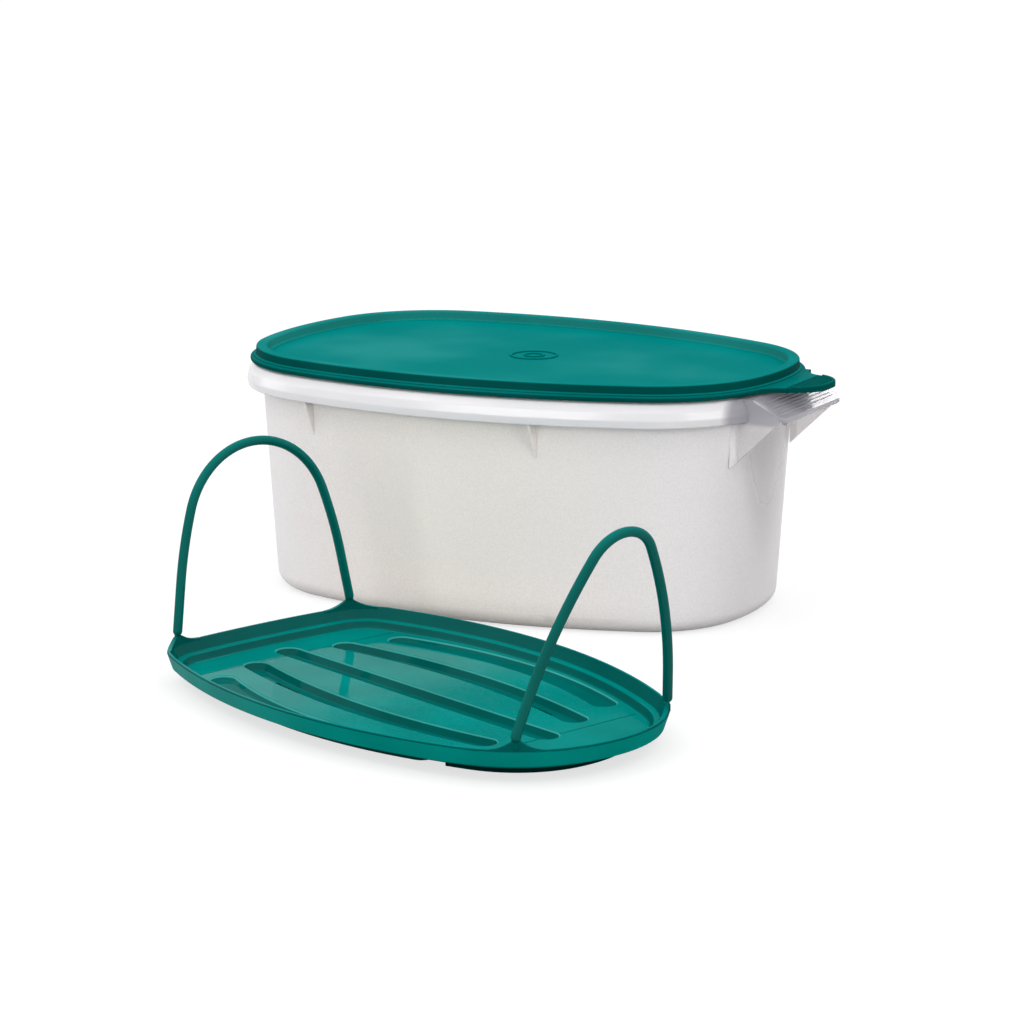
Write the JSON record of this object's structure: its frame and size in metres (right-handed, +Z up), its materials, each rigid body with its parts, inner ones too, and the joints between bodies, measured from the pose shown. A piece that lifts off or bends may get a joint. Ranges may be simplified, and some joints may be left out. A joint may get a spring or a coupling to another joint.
{
  "type": "pickle keeper with lift strainer",
  "caption": "Oval translucent food keeper with a pull wing, a press-on lid with a finger tab, and a lift-out grooved strainer tray with tall folding hoop handles.",
  "frame": {"origin": "centre of the container's flat base, where it stands", "axes": "+Z up; +X along the container towards the pull wing and the lid's tab; the strainer stands in front, towards -Y"},
  "size_m": [0.3638, 0.4359, 0.134],
  "materials": {
    "clear_body": "frosted translucent polypropylene, fine texture outside",
    "teal_lid": "satin soft polyethylene",
    "teal_strainer": "polished moulded polypropylene"
  },
  "bodies": {
    "container": {"container": "clear_body"},
    "lid": {"lid": "teal_lid"},
    "strainer": {"strainer_tray": "teal_strainer"},
    "left_hoop": {"left_hoop": "teal_strainer"},
    "right_hoop": {"right_hoop": "teal_strainer"}
  },
  "joints": [
    {"name": "lid_lift", "type": "slide", "parent": "container", "child": "lid", "axis": [0, 0, 1], "range_m": [0, 0.08]},
    {"name": "strainer_lift", "type": "slide", "parent": "container", "child": "strainer", "axis": [0, 0, 1], "range_m": [0, 0.15]},
    {"name": "left_hoop_hinge", "type": "hinge", "parent": "strainer", "child": "left_hoop", "pos_m": [-0.04743, -0.19286, 0.0222], "axis": [0.3371, 0.9415, 0], "range_deg": [-15, 89]},
    {"name": "right_hoop_hinge", "type": "hinge", "parent": "strainer", "child": "right_hoop", "pos_m": [0.18322, -0.27544, 0.0222], "axis": [0.3371, 0.9415, 0], "range_deg": [-95, 10]}
  ]
}
